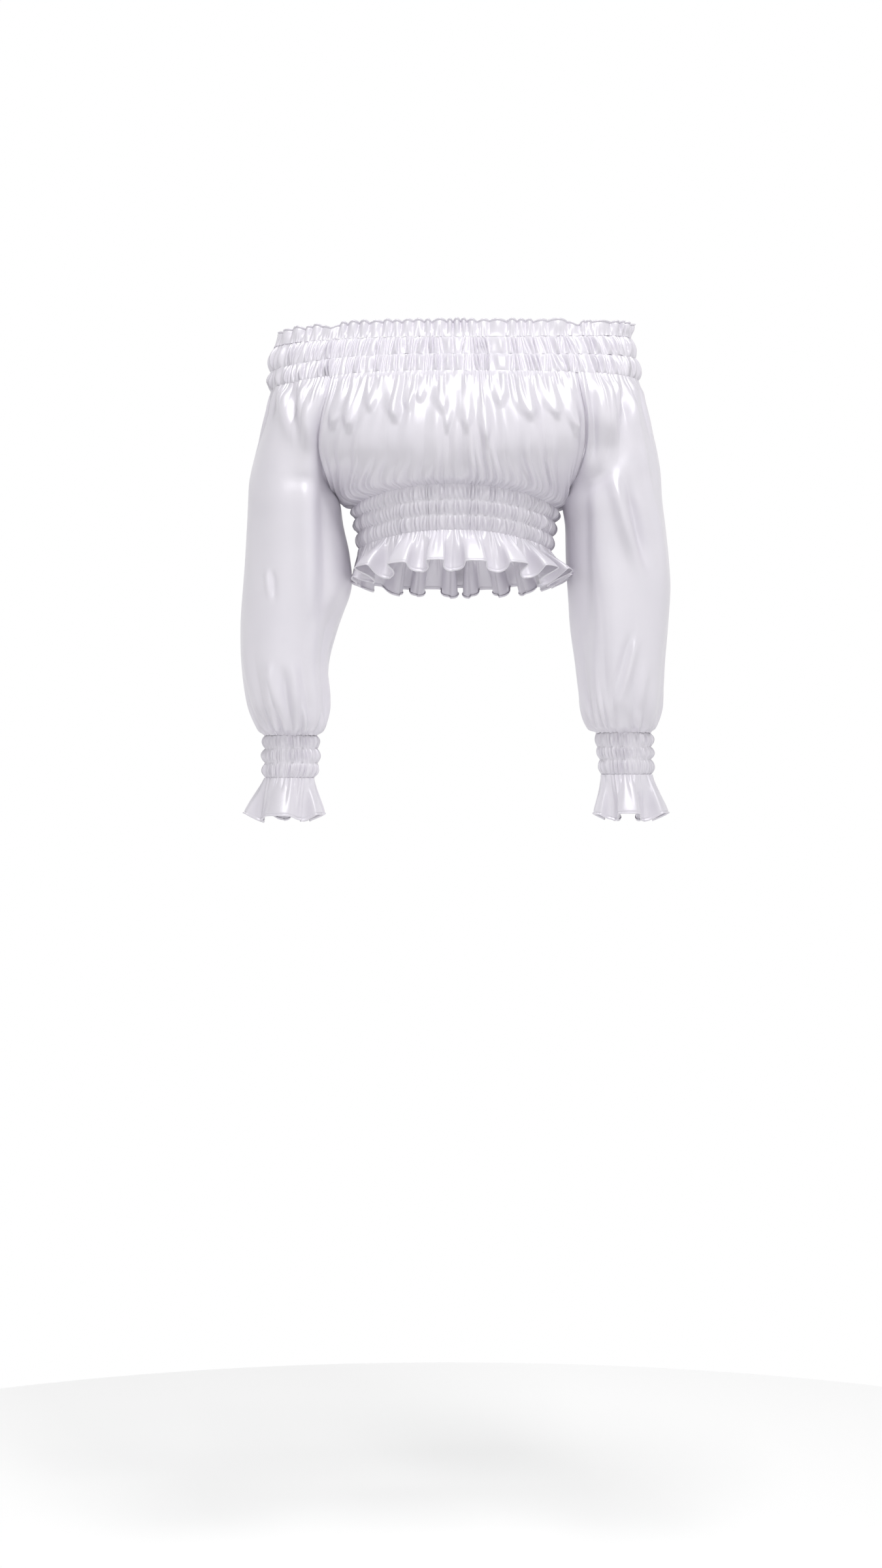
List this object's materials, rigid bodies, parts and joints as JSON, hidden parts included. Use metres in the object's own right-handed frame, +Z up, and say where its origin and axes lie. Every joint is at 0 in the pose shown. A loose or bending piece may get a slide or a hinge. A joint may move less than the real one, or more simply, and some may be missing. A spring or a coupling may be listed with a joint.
{
  "type": "peasant top",
  "caption": "Cropped off-the-shoulder peasant top: shirred elastic neck, waist and cuffs with ruffled edges, gathered bodice and full long sleeves.",
  "frame": {"origin": "the middle of the elastic neck, level with the seam between its two channels at the shoulders, where the worn top is held", "axes": "+Z up the wearer's body, +Y out of the back so the front faces -Y, +X toward the wearer's left"},
  "size_m": [0.5152, 0.2404, 0.592],
  "materials": {
    "white_sateen": "soft satin sheen, finely woven, white"
  },
  "bodies": {
    "root": {"neck_frill": "white_sateen", "neck_channel_upper": "white_sateen", "neck_channel_lower": "white_sateen", "bodice_front": "white_sateen", "bodice_back": "white_sateen", "sleeve_right": "white_sateen", "sleeve_left": "white_sateen", "waistband": "white_sateen", "hem_ruffle": "white_sateen", "cuff_right": "white_sateen", "cuff_left": "white_sateen", "cuff_ruffle_right": "white_sateen", "cuff_ruffle_left": "white_sateen"}
  },
  "joints": []
}
